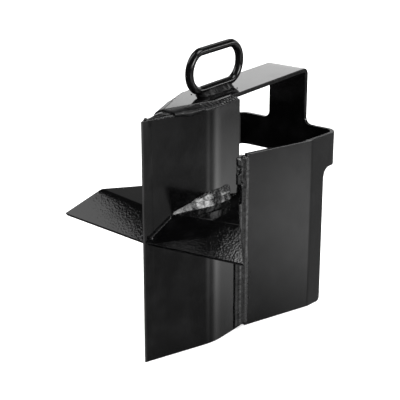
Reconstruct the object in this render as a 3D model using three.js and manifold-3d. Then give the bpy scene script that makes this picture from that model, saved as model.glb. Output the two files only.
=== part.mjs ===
// Plow anchor: a welded plate-steel anchor that stands upright on its bottom edges.
//
// Frame: millimetres, +Z up, +X towards the nose, +Y to the anchor's left. The origin is
// the middle of the bounding box at the level of the bottom edges. Most stations are
// given as a setback, the distance behind the nose line, so x = NOSE_X - setback.

import * as THREE from 'three';
import { ConvexGeometry } from 'three/addons/geometries/ConvexGeometry.js';
import { mergeVertices } from 'three/addons/utils/BufferGeometryUtils.js';
import Module from 'manifold-3d';

const wasm = await Module();
wasm.setup();

// ---------------------------------------------------------------- driving dimensions

const PLATE = 4.8; // plate thickness, 3/16 in
const LENGTH = 281; // nose to rear face
const NOSE_X = LENGTH / 2;
const GAP = 0.3; // left between pieces that touch
const OVERLAP = 2; // joined shapes of one plate run this far into one another
const CUT = 5; // cutters run this far past what they cut
const FAR = 200; // reach of a cutter where only its near faces matter

// Blade: two bent plates that form a V and end in parallel flanges.
const BLADE_HALF_ANGLE = THREE.MathUtils.degToRad(20.2);
const BLADE_HALF_WIDTH = 31.5; // outside, over the flanges
const BLADE_REAR = 131.5; // setback of the flanges' rear edges
const BLADE_HEIGHT = 273.3;
const BLADE_BEND_RADIUS = 70; // outside of the soft bend between V and flange

// Housing and handle: one folded blank.
const HOUSING_FRONT = 140.5; // setback of the side panels' front edges
const HOUSING_FRONT_HALF_WIDTH = 35.4;
const HOUSING_FLARE = THREE.MathUtils.degToRad(19.3);
const FLANK_FOLD = 229; // setback of the soft fold from side panel to flank
const FLANK_FOLD_RADIUS = 20; // outside
const FLANK_FLARE = THREE.MathUtils.degToRad(6);
const HOUSING_HEIGHT = 209.5;
const HOUSING_CORNER_RADIUS = 14.8; // outside, rear vertical corners
const BAND_HEIGHT = 40; // rear band that joins the panels
const PANEL_REAR = 251.7; // setback of the panels' free rear edges
const WINDOW_FILLET = 11; // band to panel free edge
const PANEL_TOE_RADIUS = 5; // lower rear corner of a panel

const STRAP_WIDTH = 50.8; // 2 in handle strap and tongue
const STRAP_TOP = 278.4;
const STRAP_BEND_RADIUS = 9; // outside
const TONGUE_FILLET = 8;
const STRAP_TIP = 38.3; // setback of the pointed front end
const STRAP_SHOULDER = 102.8; // setback where the point reaches full width

// Flukes: one folded plate each side. Points are [setback, half width, height] on the top face.
const FLUKE_ROOT_FRONT = [3, 1.1, 141];
const FLUKE_TIP = [11, 120, 144.3];
const FLUKE_CORNER = [43.2, 93.6, 169.4];
const FLUKE_FOLD_SETBACK = 35; // where the fold meets the blade
const FLUKE_ROOT_REAR = [130, BLADE_HALF_WIDTH, 166];
const FLUKE_ROOT_OVERRUN = 8; // run on inside the blade before trimming to it
const MIDDLE_GAP = 0.5; // flukes and their beads stay this far off the middle plane

// Tow ring: oblong link of round bar, upright in the middle plane.
const RING_CENTRE = 128.5; // setback
const RING_LENGTH = 102;
const RING_HEIGHT = 52;
const RING_BAR = 9.5; // 3/8 in bar
const RING_LIFT = 1.2; // bar above the strap, on its weld

// Weld beads.
const FLUKE_FRONT_BEAD = 3.4; // radius
const FLUKE_FRONT_BEAD_SPAN = [0.08, 0.86]; // share of the way from nose to fold
const FLUKE_REAR_BEAD = 9.5;
const FLUKE_REAR_BEAD_END = 0.9; // share of the way from blade bend to blade rear
const FLUKE_UNDER_BEAD = 6.5;
const FLUKE_UNDER_BEAD_END = 0.8;
const BEAD_OVERRUN = 1; // fluke beads run this far past their end points
const BEAD_SIDES = 12;

const SEAM_BEAD_END = 3; // bead stops short of the panel's ends
const SEAM_LAP = 11; // length of the bead's thin front on the blade's flange
const SEAM_SHOULDER = [6, 2.6]; // distance ahead of the flange's rear edge, height above it
const SEAM_CROWN = 3.8; // height above the flange at its rear edge
const SEAM_CREST = [2, 0.8]; // distance ahead of the panel's front edge, depth below its face
const SEAM_LIP = [0.1, 1.2]; // distance behind the panel's front edge, depth below its face
const SEAM_ROOT = [1.1, PLATE - 0.4]; // same, where the bead meets the panel's inner face
const SEAM_FLOOR = PLATE - 1; // depth of the bead between the flange and the panel
const SEAM_FLOOR_REAR = 1; // its rear end, ahead of the panel's front edge
const SEAM_FLUKE_ROOM = [20, -13, 10.5]; // left free for the fluke: length, below and above its root

const STRAP_WELD_BREAK = 74; // setback where the ground bead gives way to the rough one
const STRAP_WELD_STATIONS = [82, 90]; // setbacks where the rough bead follows the blade's bend
const STRAP_WELD_CLEARANCE = 0.45; // to the strap's edge
const STRAP_WELD_DROP = 0.6; // top of the bead below the strap's top
const STRAP_WELD_FOOT = 0.8; // foot of the bead inside the blade's outer face
const STRAP_WELD_TOE = [1.2, 1.6]; // bead's toe: distance inside the blade's face, height
const TIP_WELD_FRONT = 5; // setback of its point
const TIP_WELD_REAR_GAP = 0.4;
const TIP_WELD_INSET = 1; // inside the blade's outer faces
const TIP_WELD_TOE = 1.4; // height of its edges

const RING_WELD_LENGTH = 62;
const RING_WELD_LEG = 8;
const RING_WELD_TAPER = 8; // length over which each end grows to full size
const RING_WELD_END = 0.45; // size of the ends as a share of the full size
const RING_WELD_MIDDLE = 0.4; // half the space between the two fillets
const RING_WELD_TOE = 1.5; // foot of the fillet beyond its leg
const RING_WELD_KNEE = [0.75, 0.35]; // knee of the section, as shares of the leg
const RING_WELD_HEIGHT = 0.8; // share of the leg
const RING_WELD_SHOULDER = 2.5; // half width of the fillet's top
const RING_SECTION_SIDES = 16;
const RING_END_STEPS = 40; // facets round one end, as a full turn

// ------------------------------------------------------------------------ materials

const enamel = () => new THREE.MeshStandardMaterial({ color: 0x0c0c0d, roughness: 0.22, metalness: 0.1 });
const beadEnamel = () => new THREE.MeshStandardMaterial({ color: 0x17171a, roughness: 0.38, metalness: 0.15 });

// -------------------------------------------------------------------------- helpers

// Manifold solid of a closed three.js geometry.
function solid(geometry) {
  let plain = geometry.clone();
  for (const name of Object.keys(plain.attributes)) {
    if (name !== 'position') plain.deleteAttribute(name);
  }
  plain = mergeVertices(plain, 1e-4);
  return new wasm.Manifold(new wasm.Mesh({
    numProp: 3,
    vertProperties: new Float32Array(plain.attributes.position.array),
    triVerts: new Uint32Array(plain.index.array),
  }));
}

// three.js geometry of a manifold solid.
function geometryOf(body) {
  const mesh = body.getMesh();
  const geometry = new THREE.BufferGeometry();
  geometry.setAttribute('position', new THREE.BufferAttribute(new Float32Array(mesh.vertProperties), 3));
  geometry.setIndex(new THREE.BufferAttribute(new Uint32Array(mesh.triVerts), 1));
  return geometry;
}

const at = (setback, y, z) => new THREE.Vector3(NOSE_X - setback, y, z);
const hull = (points) => solid(new ConvexGeometry(points));
const union = (bodies) => bodies.reduce((sum, body) => sum.add(body));

// Box between two setbacks, two widths and two heights.
function block([s0, s1], [y0, y1], [z0, z1]) {
  const geometry = new THREE.BoxGeometry(s1 - s0, y1 - y0, z1 - z0);
  geometry.translate(NOSE_X - (s0 + s1) / 2, (y0 + y1) / 2, (z0 + z1) / 2);
  return solid(geometry);
}

// Vertical prism over a closed outline of [setback, y] points.
function prism(outline, z0, z1) {
  const shape = new THREE.Shape(outline.map(([s, y]) => new THREE.Vector2(NOSE_X - s, y)));
  const geometry = new THREE.ExtrudeGeometry(shape, { depth: z1 - z0, bevelEnabled: false });
  geometry.translate(0, 0, z0);
  return solid(geometry);
}

// Prism across the anchor over a closed outline of [setback, z] points.
function crossPrism(outline, y0, y1) {
  const shape = new THREE.Shape(outline.map(([s, z]) => new THREE.Vector2(NOSE_X - s, z)));
  const geometry = new THREE.ExtrudeGeometry(shape, { depth: y1 - y0, bevelEnabled: false });
  geometry.rotateX(Math.PI / 2);
  geometry.translate(0, y1, 0);
  return solid(geometry);
}

// Points on an arc about (cx, cy), from angle a0 to a1.
function arc(cx, cy, radius, a0, a1, steps) {
  const points = [];
  for (let i = 0; i <= steps; i += 1) {
    const angle = a0 + (a1 - a0) * (i / steps);
    points.push([cx + radius * Math.cos(angle), cy + radius * Math.sin(angle)]);
  }
  return points;
}

const mirrored = (outline) => outline.map(([s, y]) => [s, -y]);
const onSide = (side, outline) => (side > 0 ? outline : mirrored(outline));

// ---------------------------------------------------------------------------- blade

// One face of a blade plate, offset inwards from the outside, from nose end to rear edge.
function bladeFace(inset, noseDistance) {
  const a = BLADE_HALF_ANGLE;
  const radius = BLADE_BEND_RADIUS - inset;
  const bendCentreY = BLADE_HALF_WIDTH - BLADE_BEND_RADIUS;
  const tangent = BLADE_BEND_RADIUS * Math.tan(a / 2);
  const bendCentreS = BLADE_HALF_WIDTH / Math.tan(a) + tangent;
  const start = [
    noseDistance * Math.cos(a) + inset * Math.sin(a),
    noseDistance * Math.sin(a) - inset * Math.cos(a),
  ];
  const bend = arc(bendCentreS, bendCentreY, radius, Math.PI / 2 + a, Math.PI / 2, 5);
  return [start, ...bend, [BLADE_REAR, BLADE_HALF_WIDTH - inset]];
}

// Distance along a plate from the nose line to its square-cut front end.
const NOSE_END = PLATE / Math.tan(BLADE_HALF_ANGLE);

function bladePlate(side) {
  const outline = [
    ...bladeFace(0, NOSE_END + GAP),
    ...bladeFace(PLATE, NOSE_END + GAP).reverse(),
  ];
  return prism(onSide(side, outline), 0, BLADE_HEIGHT);
}

// Weld metal that fills the groove between the two square ends, ground to a sharp nose.
function apexWeld() {
  const a = BLADE_HALF_ANGLE;
  const shoulder = [NOSE_END * Math.cos(a), NOSE_END * Math.sin(a)];
  const root = PLATE / Math.sin(a);
  return prism([[0, 0], shoulder, [root, 0], [shoulder[0], -shoulder[1]]], 0, BLADE_HEIGHT);
}

// Everything inside the blade's outer faces, grown by a clearance.
function bladeEnvelope(clearance) {
  const left = bladeFace(-clearance, 0);
  left[0] = [-clearance / Math.sin(BLADE_HALF_ANGLE), 0];
  const outline = [...left, ...mirrored(left).reverse().slice(0, -1)];
  return prism(outline, -CUT, BLADE_HEIGHT + CUT);
}

// --------------------------------------------------------------- housing and handle

// One face of a side panel, its flank and half of the rear band, offset inwards.
function housingFace(inset) {
  const panel = HOUSING_FLARE;
  const flank = FLANK_FLARE;
  const right = Math.PI / 2;
  const foldY = HOUSING_FRONT_HALF_WIDTH + (FLANK_FOLD - HOUSING_FRONT) * Math.tan(panel);
  const tangent = FLANK_FOLD_RADIUS * Math.tan((panel - flank) / 2);
  const foldCentreS = FLANK_FOLD - tangent * Math.cos(panel) + FLANK_FOLD_RADIUS * Math.sin(panel);
  const foldCentreY = foldY - tangent * Math.sin(panel) - FLANK_FOLD_RADIUS * Math.cos(panel);
  const cornerS = LENGTH - HOUSING_CORNER_RADIUS;
  const cornerY = foldY + (cornerS - FLANK_FOLD) * Math.tan(flank) - HOUSING_CORNER_RADIUS / Math.cos(flank);
  const start = [
    HOUSING_FRONT + inset * Math.sin(panel),
    HOUSING_FRONT_HALF_WIDTH - inset * Math.cos(panel),
  ];
  const fold = arc(foldCentreS, foldCentreY, FLANK_FOLD_RADIUS - inset, right + panel, right + flank, 4);
  const corner = arc(cornerS, cornerY, HOUSING_CORNER_RADIUS - inset, right + flank, 0, 10);
  return [start, ...fold, ...corner];
}

// Opening below the band, seen from the side, with its fillet and the panels' rounded toes.
function rearWindow() {
  const top = HOUSING_HEIGHT - BAND_HEIGHT;
  const past = LENGTH + CUT;
  const half = Math.PI / 2;
  const fillet = arc(PANEL_REAR + WINDOW_FILLET, top - WINDOW_FILLET, WINDOW_FILLET, half, 2 * half, 6);
  const toe = arc(PANEL_REAR - PANEL_TOE_RADIUS, PANEL_TOE_RADIUS, PANEL_TOE_RADIUS, 0, -half, 4);
  return [[past, -CUT], [past, top], ...fillet, ...toe, [PANEL_REAR - PANEL_TOE_RADIUS, -CUT]];
}

// Tongue and strap seen from the side: up the rear face, round the bend and forward.
function handleProfile() {
  const outer = STRAP_BEND_RADIUS;
  const inner = STRAP_BEND_RADIUS - PLATE;
  const cs = LENGTH - outer;
  const cz = STRAP_TOP - outer;
  const foot = HOUSING_HEIGHT - OVERLAP;
  return [
    [LENGTH, foot],
    ...arc(cs, cz, outer, 0, Math.PI / 2, 6),
    [STRAP_TIP, STRAP_TOP],
    [STRAP_TIP, STRAP_TOP - PLATE],
    ...arc(cs, cz, inner, Math.PI / 2, 0, 6),
    [LENGTH - PLATE, foot],
  ];
}

// Plan outline of the strap with its pointed front end.
function strapPlan() {
  const half = STRAP_WIDTH / 2;
  const back = LENGTH + CUT;
  return [[STRAP_TIP, 0], [STRAP_SHOULDER, half], [back, half], [back, -half], [STRAP_SHOULDER, -half]];
}

// Concave fillets where the tongue leaves the band's upper edge, on the rear plate.
function tongueFeet() {
  const half = STRAP_WIDTH / 2;
  const top = HOUSING_HEIGHT;
  const r = TONGUE_FILLET;
  const curve = arc(half + r, top + r, r, Math.PI, Math.PI * 1.5, 6);
  const low = top - OVERLAP;
  const profile = [[-half, low], [half + r, low], ...curve.reverse(), [half, top + r], [-half, top + r]];
  const shape = new THREE.Shape(profile.map(([y, z]) => new THREE.Vector2(y, z)));
  const foot = new THREE.ExtrudeGeometry(shape, { depth: PLATE, bevelEnabled: false });
  foot.rotateX(Math.PI / 2);
  foot.rotateZ(Math.PI / 2);
  foot.translate(NOSE_X - LENGTH, 0, 0);
  const left = solid(foot);
  return left.add(left.mirror([0, 1, 0]));
}

function housingWithHandle() {
  const outside = housingFace(0);
  const inside = housingFace(PLATE);
  const wall = [...outside, ...mirrored(outside).reverse(), ...mirrored(inside), ...[...inside].reverse()];
  const panels = prism(wall, 0, HOUSING_HEIGHT).subtract(crossPrism(rearWindow(), -FAR, FAR));
  const strip = crossPrism(handleProfile(), -STRAP_WIDTH / 2, STRAP_WIDTH / 2);
  const strap = strip.intersect(prism(strapPlan(), 0, STRAP_TOP + CUT));
  return union([panels, strap, tongueFeet()]);
}

// --------------------------------------------------------------------------- flukes

const corner = (point, side) => at(point[0], side * point[1], point[2]);

// Corners and unit normals of a fluke's two top faces. The fold's root lies on the blade,
// and each inner corner lies inside it.
function flukeFrame(side) {
  const front = corner(FLUKE_ROOT_FRONT, side);
  const tip = corner(FLUKE_TIP, side);
  const shoulder = corner(FLUKE_CORNER, side);
  const rear = corner(FLUKE_ROOT_REAR, side);
  const share = new THREE.Plane().setFromCoplanarPoints(front, tip, shoulder);
  if (share.normal.z < 0) share.negate();
  const fold = corner([FLUKE_FOLD_SETBACK, FLUKE_FOLD_SETBACK * Math.tan(BLADE_HALF_ANGLE), 0], side);
  fold.z = -(share.normal.x * fold.x + share.normal.y * fold.y + share.constant) / share.normal.z;
  const wing = new THREE.Plane().setFromCoplanarPoints(fold, shoulder, rear);
  if (wing.normal.z < 0) wing.negate();
  const inwards = (point, from) => {
    const direction = point.clone().sub(from).normalize();
    return point.clone().addScaledVector(direction, FLUKE_ROOT_OVERRUN);
  };
  const frontIn = inwards(front, tip);
  const foldIn = inwards(fold, shoulder);
  const rearIn = rear.clone().add(new THREE.Vector3(0, -side * FLUKE_ROOT_OVERRUN, 0));
  return { front, tip, shoulder, rear, fold, frontIn, foldIn, rearIn, share: share.normal, wing: wing.normal };
}

// Slab of plate thickness under a flat outline, grown above and below by a clearance.
function slab(points, normal, clearance) {
  const top = points.map((p) => p.clone().addScaledVector(normal, clearance));
  const bottom = points.map((p) => p.clone().addScaledVector(normal, -PLATE - clearance));
  return hull([...top, ...bottom]);
}

// Both faces of a fluke, run on inside the blade so that they can be trimmed to it.
function flukeSlabs(side, clearance) {
  const f = flukeFrame(side);
  const share = slab([f.frontIn, f.tip, f.shoulder, f.foldIn], f.share, clearance);
  const wing = slab([f.foldIn, f.shoulder, f.rear, f.rearIn], f.wing, clearance);
  return share.add(wing);
}

// Everything on one side of the middle plane.
const halfSpace = (side) => {
  const across = side > 0 ? [MIDDLE_GAP, FAR] : [-FAR, -MIDDLE_GAP];
  return block([-FAR, LENGTH + FAR], across, [-FAR, STRAP_TOP + FAR]);
};

function fluke(side) {
  return flukeSlabs(side, 0).subtract(bladeEnvelope(GAP)).intersect(halfSpace(side));
}

// Round bar between two points, run on a little past both ends.
function bar(from, to, radius, overrun) {
  const direction = to.clone().sub(from);
  const length = direction.length() + 2 * overrun;
  const geometry = new THREE.CylinderGeometry(radius, radius, length, BEAD_SIDES);
  const turn = new THREE.Quaternion().setFromUnitVectors(new THREE.Vector3(0, 1, 0), direction.normalize());
  geometry.applyQuaternion(turn);
  const middle = from.clone().add(to).multiplyScalar(0.5);
  geometry.translate(middle.x, middle.y, middle.z);
  return solid(geometry);
}

// Space straight above a fluke's top faces, or straight below its bottom faces.
function flukeSide(side, above) {
  const f = flukeFrame(side);
  const column = (points, normal) => {
    const near = above ? GAP / normal.z : -(PLATE + GAP) / normal.z;
    const far = above ? FAR : -FAR;
    return hull(points.flatMap((p) => [near, far].map((z) => p.clone().add(new THREE.Vector3(0, 0, z)))));
  };
  const share = column([f.frontIn, f.tip, f.shoulder, f.foldIn], f.share);
  const wing = column([f.foldIn, f.shoulder, f.rear, f.rearIn], f.wing);
  return share.add(wing);
}

// Fillet bead along the fluke's root, trimmed to the blade and to the plate.
function flukeBead(side, above, segments) {
  const bars = union(segments.map(([from, to, radius]) => bar(from, to, radius, BEAD_OVERRUN)));
  return bars
    .subtract(bladeEnvelope(GAP))
    .subtract(flukeSlabs(side, GAP))
    .intersect(flukeSide(side, above))
    .intersect(halfSpace(side));
}

// Points of a fluke's root line: nose end, fold, blade bend and rear.
function rootLine(side) {
  const f = flukeFrame(side);
  const bendS = BLADE_HALF_WIDTH / Math.tan(BLADE_HALF_ANGLE);
  const share = (bendS - FLUKE_FOLD_SETBACK) / (FLUKE_ROOT_REAR[0] - FLUKE_FOLD_SETBACK);
  const bend = at(bendS, side * BLADE_HALF_WIDTH, f.fold.z + (f.rear.z - f.fold.z) * share);
  return { nose: f.front, fold: f.fold, bend, rear: f.rear };
}

function flukeFrontWeld(side) {
  const line = rootLine(side);
  const [start, end] = FLUKE_FRONT_BEAD_SPAN.map((share) => line.nose.clone().lerp(line.fold, share));
  return flukeBead(side, true, [[start, end, FLUKE_FRONT_BEAD]]);
}

function flukeRearWeld(side) {
  const line = rootLine(side);
  const end = line.bend.clone().lerp(line.rear, FLUKE_REAR_BEAD_END);
  return flukeBead(side, true, [[line.fold, line.bend, FLUKE_REAR_BEAD], [line.bend, end, FLUKE_REAR_BEAD]]);
}

function flukeUnderWeld(side) {
  const line = rootLine(side);
  const drop = new THREE.Vector3(0, 0, -PLATE);
  const fold = line.fold.clone().add(drop);
  const bend = line.bend.clone().add(drop);
  const end = bend.clone().lerp(line.rear.clone().add(drop), FLUKE_UNDER_BEAD_END);
  return flukeBead(side, false, [[fold, bend, FLUKE_UNDER_BEAD], [bend, end, FLUKE_UNDER_BEAD]]);
}

// ----------------------------------------------------------------------- seam welds

// Bead from the blade's rear edge to the side panel's front edge, the panel's full height.
function seamWeld(side) {
  const face = BLADE_HALF_WIDTH + GAP;
  const edge = HOUSING_FRONT_HALF_WIDTH;
  const outline = [
    [BLADE_REAR - SEAM_LAP, face],
    [BLADE_REAR - SEAM_SHOULDER[0], face + SEAM_SHOULDER[1]],
    [BLADE_REAR, face + SEAM_CROWN],
    [HOUSING_FRONT - SEAM_CREST[0], edge - SEAM_CREST[1]],
    [HOUSING_FRONT + SEAM_LIP[0], edge - SEAM_LIP[1]],
    [HOUSING_FRONT + SEAM_ROOT[0], edge - SEAM_ROOT[1]],
    [HOUSING_FRONT - SEAM_FLOOR_REAR, BLADE_HALF_WIDTH - SEAM_FLOOR],
    [BLADE_REAR + GAP, BLADE_HALF_WIDTH - SEAM_FLOOR],
    [BLADE_REAR + GAP, face],
  ];
  const bead = prism(onSide(side, outline), SEAM_BEAD_END, HOUSING_HEIGHT - SEAM_BEAD_END);
  const outwards = side > 0 ? [face, face + FAR] : [-face - FAR, -face];
  const [length, below, above] = SEAM_FLUKE_ROOM;
  const heights = [FLUKE_ROOT_REAR[2] + below, FLUKE_ROOT_REAR[2] + above];
  const flukeRoom = block([BLADE_REAR - length, BLADE_REAR + GAP], outwards, heights);
  return bead.subtract(flukeRoom);
}

// ---------------------------------------------------------------------- strap welds

// Half width over the blade's outside faces at a setback.
function bladeHalf(setback) {
  const tangent = BLADE_BEND_RADIUS * Math.tan(BLADE_HALF_ANGLE / 2);
  const bendEnd = BLADE_HALF_WIDTH / Math.tan(BLADE_HALF_ANGLE) + tangent;
  const bendStart = bendEnd - BLADE_BEND_RADIUS * Math.sin(BLADE_HALF_ANGLE);
  if (setback <= bendStart) return setback * Math.tan(BLADE_HALF_ANGLE);
  const drop = BLADE_BEND_RADIUS - Math.sqrt(BLADE_BEND_RADIUS ** 2 - Math.max(0, bendEnd - setback) ** 2);
  return BLADE_HALF_WIDTH - drop;
}

// Half width of the strap at a setback.
function strapHalf(setback) {
  const share = (setback - STRAP_TIP) / (STRAP_SHOULDER - STRAP_TIP);
  return (STRAP_WIDTH / 2) * Math.min(1, share);
}

// Weld from the strap's edge out to the blade's top edge, through a row of setbacks.
function strapEdgeWeld(side, setbacks) {
  const low = BLADE_HEIGHT + GAP;
  const section = (setback) => {
    const inner = strapHalf(setback) + STRAP_WELD_CLEARANCE;
    const outer = bladeHalf(setback);
    return [
      at(setback, side * inner, low),
      at(setback, side * inner, STRAP_TOP - STRAP_WELD_DROP),
      at(setback, side * (outer - STRAP_WELD_FOOT), low),
      at(setback, side * (outer - STRAP_WELD_TOE[0]), low + STRAP_WELD_TOE[1]),
    ];
  };
  const spans = setbacks.slice(1).map((to, i) => hull([...section(setbacks[i]), ...section(to)]));
  return union(spans);
}

function strapFrontWeld(side) {
  return strapEdgeWeld(side, [STRAP_TIP + 1, STRAP_WELD_BREAK - GAP]);
}

function strapRearWeld(side) {
  return strapEdgeWeld(side, [STRAP_WELD_BREAK, ...STRAP_WELD_STATIONS, STRAP_SHOULDER, BLADE_REAR - 1]);
}

// Weld that closes the point of the V ahead of the strap's tip.
function strapTipWeld() {
  const low = BLADE_HEIGHT + GAP;
  const back = STRAP_TIP - TIP_WELD_REAR_GAP;
  const half = bladeHalf(back) - TIP_WELD_INSET;
  const level = (z) => [at(TIP_WELD_FRONT, 0, z), at(back, half, z), at(back, -half, z)];
  return hull([...level(low), ...level(low + TIP_WELD_TOE), at(back, 0, STRAP_TOP - STRAP_WELD_DROP)]);
}

// ------------------------------------------------------------------------- tow ring

const RING_END_RADIUS = (RING_HEIGHT - RING_BAR) / 2;
const RING_CENTRE_Z = STRAP_TOP + RING_LIFT + RING_HEIGHT / 2;
const RING_STRAIGHT = (RING_LENGTH - RING_HEIGHT) / 2;
const RING_JOINT = 0.02; // overlap of the straight bars and the ends

// Half of a round-bar ring, centred at a setback, on its nose side or its rear side.
function ringEnd(setback, forward) {
  const section = arc(RING_END_RADIUS, 0, RING_BAR / 2, 0, Math.PI * 2, RING_SECTION_SIDES);
  const profile = section.map(([r, z]) => new THREE.Vector2(r, z));
  profile[profile.length - 1].copy(profile[0]);
  const geometry = new THREE.LatheGeometry(profile, RING_END_STEPS);
  geometry.translate(NOSE_X - setback, 0, RING_CENTRE_Z);
  const keep = forward ? [setback - FAR, setback] : [setback, setback + FAR];
  return solid(geometry).intersect(block(keep, [-FAR, FAR], [0, RING_CENTRE_Z + FAR]));
}

function ringBar(z, radius) {
  const geometry = new THREE.CylinderGeometry(radius, radius, 2 * RING_STRAIGHT + RING_JOINT, RING_SECTION_SIDES);
  geometry.rotateZ(Math.PI / 2);
  geometry.translate(NOSE_X - RING_CENTRE, 0, z);
  return solid(geometry);
}

function towRing() {
  const bar0 = RING_BAR / 2;
  return union([
    ringEnd(RING_CENTRE - RING_STRAIGHT, true),
    ringEnd(RING_CENTRE + RING_STRAIGHT, false),
    ringBar(RING_CENTRE_Z + RING_END_RADIUS, bar0),
    ringBar(RING_CENTRE_Z - RING_END_RADIUS, bar0),
  ]);
}

// Fillet between the ring's lower bar and the strap, on one side.
function ringWeld(side) {
  const low = STRAP_TOP + GAP;
  const half = RING_WELD_LENGTH / 2;
  const section = (setback, leg) => [
    at(setback, side * RING_WELD_MIDDLE, low),
    at(setback, side * (leg + RING_WELD_TOE), low),
    at(setback, side * leg * RING_WELD_KNEE[0], low + leg * RING_WELD_KNEE[1]),
    at(setback, side * RING_WELD_SHOULDER, low + leg * RING_WELD_HEIGHT),
    at(setback, side * RING_WELD_MIDDLE, low + leg * RING_WELD_HEIGHT),
  ];
  const body = hull([
    ...section(RING_CENTRE - half, RING_WELD_LEG * RING_WELD_END),
    ...section(RING_CENTRE - half + RING_WELD_TAPER, RING_WELD_LEG),
    ...section(RING_CENTRE + half - RING_WELD_TAPER, RING_WELD_LEG),
    ...section(RING_CENTRE + half, RING_WELD_LEG * RING_WELD_END),
  ]);
  const grown = RING_BAR / 2 + GAP;
  const centres = [RING_CENTRE - RING_STRAIGHT, RING_CENTRE + RING_STRAIGHT];
  const z = RING_CENTRE_Z - RING_END_RADIUS;
  const lower = bar(at(centres[0], 0, z), at(centres[1], 0, z), grown, RING_BAR);
  return body.subtract(lower);
}

// ------------------------------------------------------------------------- assembly

const anchor = new THREE.Group();

function place(name, body, material) {
  const mesh = new THREE.Mesh(geometryOf(body), material);
  mesh.name = name;
  anchor.add(mesh);
}

place('apex_weld', apexWeld(), beadEnamel());
place('housing_with_handle', housingWithHandle(), enamel());
place('strap_tip_weld', strapTipWeld(), beadEnamel());
place('tow_ring', towRing(), enamel());

for (const [label, side] of [['left', 1], ['right', -1]]) {
  place(`blade_plate_${label}`, bladePlate(side), enamel());
  place(`fluke_${label}`, fluke(side), enamel());
  place(`fluke_weld_front_${label}`, flukeFrontWeld(side), beadEnamel());
  place(`fluke_weld_rear_${label}`, flukeRearWeld(side), beadEnamel());
  place(`fluke_weld_under_${label}`, flukeUnderWeld(side), beadEnamel());
  place(`seam_weld_${label}`, seamWeld(side), beadEnamel());
  place(`strap_weld_front_${label}`, strapFrontWeld(side), beadEnamel());
  place(`strap_weld_rear_${label}`, strapRearWeld(side), beadEnamel());
  place(`ring_weld_${label}`, ringWeld(side), beadEnamel());
}

export default anchor;
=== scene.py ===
import math

import bmesh
import bpy
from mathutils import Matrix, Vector, noise


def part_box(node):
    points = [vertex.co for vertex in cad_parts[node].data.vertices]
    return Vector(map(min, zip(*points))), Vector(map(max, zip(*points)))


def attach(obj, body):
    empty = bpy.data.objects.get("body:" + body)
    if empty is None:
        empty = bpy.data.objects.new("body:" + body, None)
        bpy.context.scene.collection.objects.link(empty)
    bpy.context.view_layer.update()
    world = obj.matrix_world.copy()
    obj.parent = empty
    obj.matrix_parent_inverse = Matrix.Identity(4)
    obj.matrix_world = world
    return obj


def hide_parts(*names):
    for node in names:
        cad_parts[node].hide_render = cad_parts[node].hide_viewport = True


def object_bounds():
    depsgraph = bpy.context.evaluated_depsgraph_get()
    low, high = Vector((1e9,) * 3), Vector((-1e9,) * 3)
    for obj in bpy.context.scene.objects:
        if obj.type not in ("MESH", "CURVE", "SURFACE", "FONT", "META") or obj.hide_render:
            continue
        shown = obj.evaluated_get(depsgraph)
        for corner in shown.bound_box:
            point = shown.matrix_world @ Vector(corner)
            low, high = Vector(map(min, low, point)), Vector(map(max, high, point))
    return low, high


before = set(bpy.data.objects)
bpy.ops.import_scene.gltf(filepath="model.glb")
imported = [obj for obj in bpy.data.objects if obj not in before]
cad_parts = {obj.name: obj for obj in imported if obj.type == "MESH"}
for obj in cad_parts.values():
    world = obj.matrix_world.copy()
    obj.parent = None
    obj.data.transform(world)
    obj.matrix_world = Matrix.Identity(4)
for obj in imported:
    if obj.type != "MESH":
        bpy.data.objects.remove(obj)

CAD_LOW, CAD_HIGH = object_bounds()

# Looks of a welded plow anchor. Every piece here stands for one CAD node. Plates and bars
# keep their place and size, apart from ground and rounded edges. Weld beads keep their
# place but are laid more freely. Lengths are in metres. "setback" is the distance behind
# the nose line, so x = NOSE_X - setback, and side is +1 on the anchor's left and -1 on its
# right.

# --------------------------------------------------------------------------- dimensions

MM = 0.001
NOSE_X = CAD_HIGH.x
REAR = CAD_HIGH.x - CAD_LOW.x
BLADE_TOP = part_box("blade_plate_left")[1].z
BLADE_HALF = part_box("blade_plate_left")[1].y
BLADE_REAR = NOSE_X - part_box("blade_plate_left")[0].x
STRAP_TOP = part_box("housing_with_handle")[1].z
RING_LOW, RING_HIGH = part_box("tow_ring")

PLATE = 4.8 * MM
GAP = 0.3 * MM
EDGE_ROUND = 0.8 * MM

BLADE_ANGLE = math.radians(20.2)
BLADE_BEND = 70 * MM

HOUSING_FRONT = 140.5 * MM
HOUSING_FRONT_HALF = 35.4 * MM
HOUSING_FLARE = math.radians(19.3)
FLANK_FOLD = 229 * MM
FLANK_ROUND = 20 * MM
FLANK_FLARE = math.radians(6)
HOUSING_TOP = 209.5 * MM
HOUSING_CORNER = 14.8 * MM
BAND_HEIGHT = 40 * MM
PANEL_REAR = 251.7 * MM
WINDOW_FILLET = 11 * MM
PANEL_TOE = 5 * MM

STRAP_HALF = 25.4 * MM
STRAP_BEND = 9 * MM
TONGUE_FILLET = 8 * MM
STRAP_TIP = 38.3 * MM
STRAP_SHOULDER = 102.8 * MM

FLUKE_ROOT_FRONT = (3 * MM, 1.1 * MM, 141 * MM)
FLUKE_TIP = (11 * MM, 120 * MM, 144.3 * MM)
FLUKE_CORNER = (43.2 * MM, 93.6 * MM, 169.4 * MM)
FLUKE_FOLD = 35 * MM
FLUKE_ROOT_REAR = (130 * MM, BLADE_HALF, 166 * MM)

SIDES = (("left", 1), ("right", -1))


def at(setback, y, z):
    return Vector((NOSE_X - setback, y, z))


def smooth(t):
    t = max(0.0, min(1.0, t))
    return t * t * (3 - 2 * t)


def rise(value, lo, hi):
    """0 up to lo, 1 from hi on, and a smooth step between."""
    return smooth((value - lo) / (hi - lo))


def spread(lo, hi, steps):
    return [lo + (hi - lo) * i / steps for i in range(steps + 1)]


# ------------------------------------------------------------------------------- camera

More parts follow.
